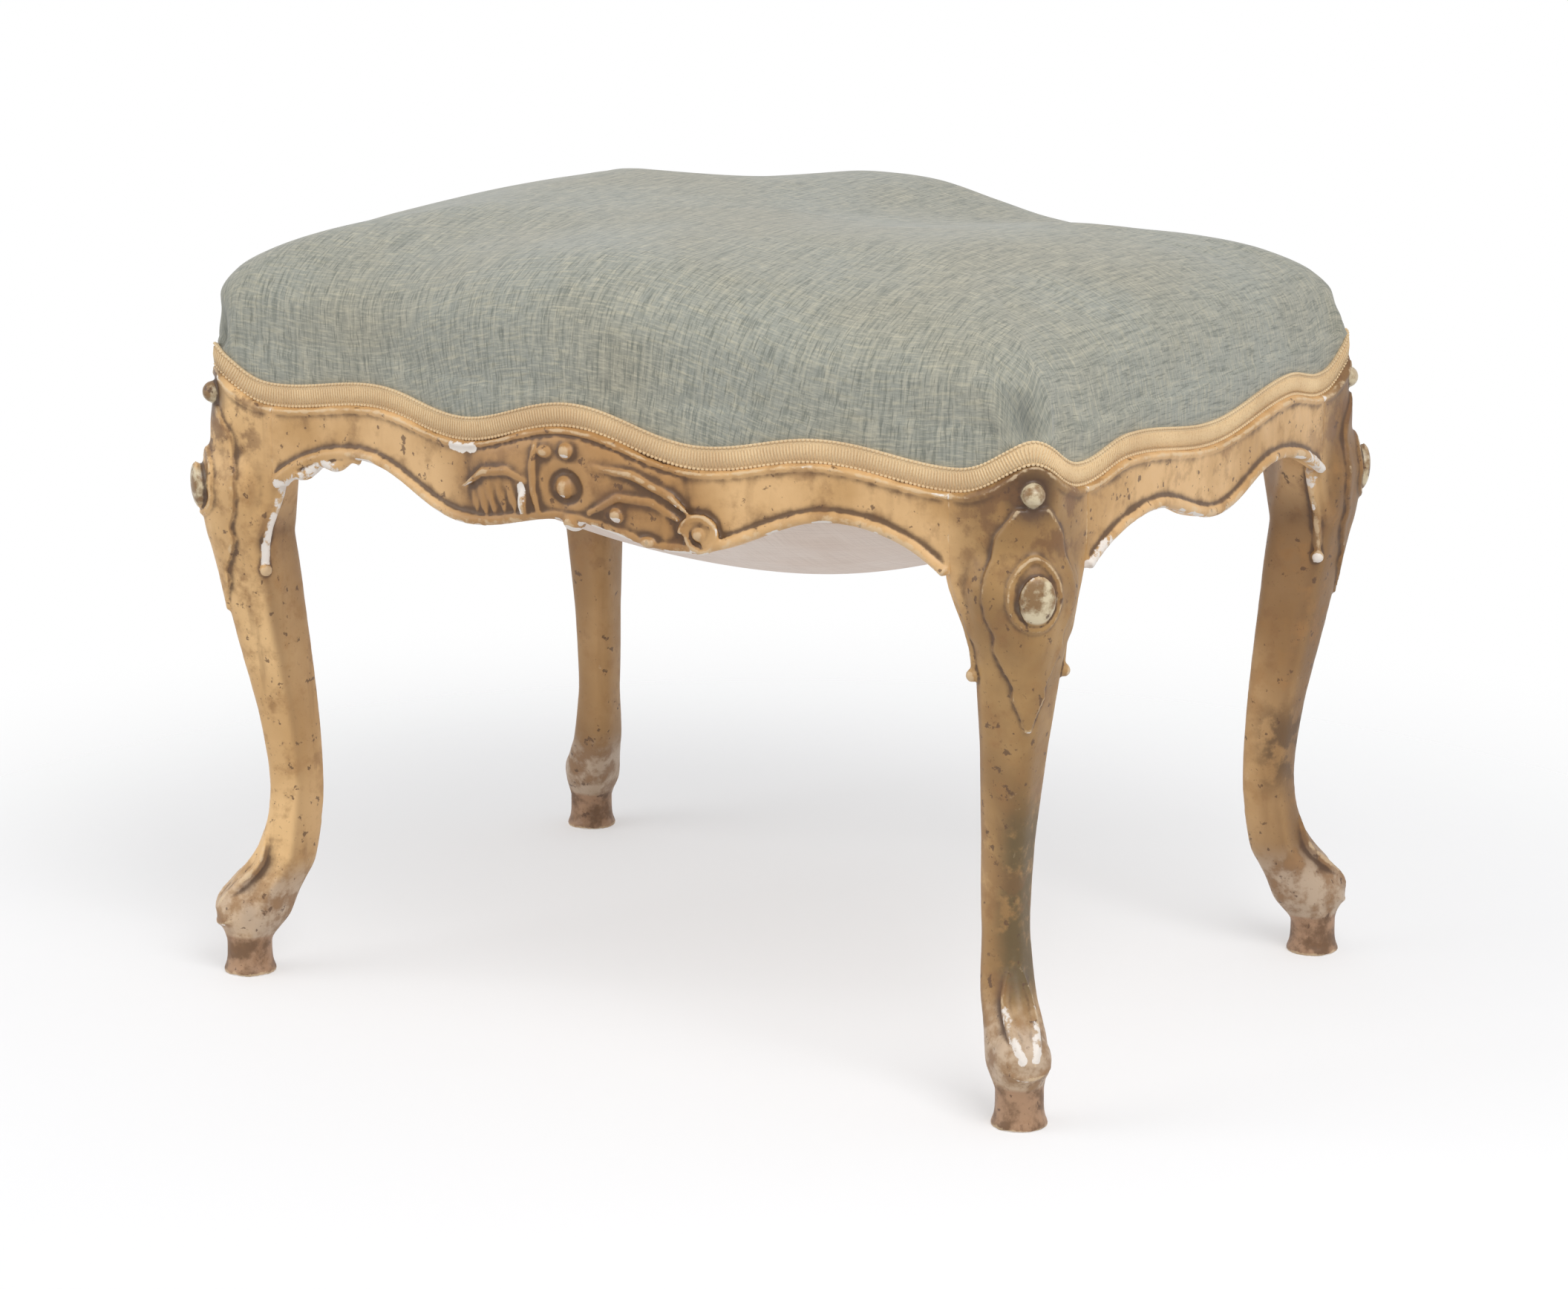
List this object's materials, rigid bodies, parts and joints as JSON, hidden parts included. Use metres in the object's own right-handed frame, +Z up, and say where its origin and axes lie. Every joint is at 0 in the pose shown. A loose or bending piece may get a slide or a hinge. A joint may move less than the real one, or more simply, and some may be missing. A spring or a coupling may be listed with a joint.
{
  "type": "dressing stool",
  "caption": "Rectangular dressing stool with carved painted cabriole legs, waved rails and a sprung, over-stuffed fabric seat edged with braid.",
  "frame": {"origin": "on the floor under the middle of the seat", "axes": "+X along the longer front side, +Y from the front to the back, +Z up"},
  "size_m": [0.607, 0.4868, 0.484],
  "materials": {
    "painted_beech": "old ochre paint over white gesso, worn and chipped",
    "bare_beech": "sawn",
    "screw_steel": "dull",
    "jute": "coarse woven",
    "bottom_linen": "thin, plain woven",
    "spring_steel": "dull",
    "spring_hessian": "coarse woven",
    "curled_hair": "loose fibre",
    "seat_fabric": "slubbed linen weave, matt",
    "braid_fabric": "ribbed gimp"
  },
  "bodies": {
    "root": {"rail_front": "painted_beech", "rail_right": "painted_beech", "rail_back": "painted_beech", "rail_left": "painted_beech", "leg_front_right": "painted_beech", "leg_front_left": "painted_beech", "leg_back_right": "painted_beech", "leg_back_left": "painted_beech", "tenon_pegs": "bare_beech", "corner_block_front_right": "bare_beech", "corner_block_front_left": "bare_beech", "corner_block_back_right": "bare_beech", "corner_block_back_left": "bare_beech", "corner_block_screws": "screw_steel", "webbing_cross_left": "jute", "webbing_cross_right": "jute", "webbing_long_front": "jute", "webbing_long_back": "jute", "bottom_cloth": "bottom_linen", "seat_spring_front_left": "spring_steel", "seat_spring_front_right": "spring_steel", "seat_spring_back_left": "spring_steel", "seat_spring_back_right": "spring_steel", "spring_canvas": "spring_hessian", "seat_stuffing": "curled_hair", "seat_cover": "seat_fabric", "gimp_braid": "braid_fabric"}
  },
  "joints": []
}
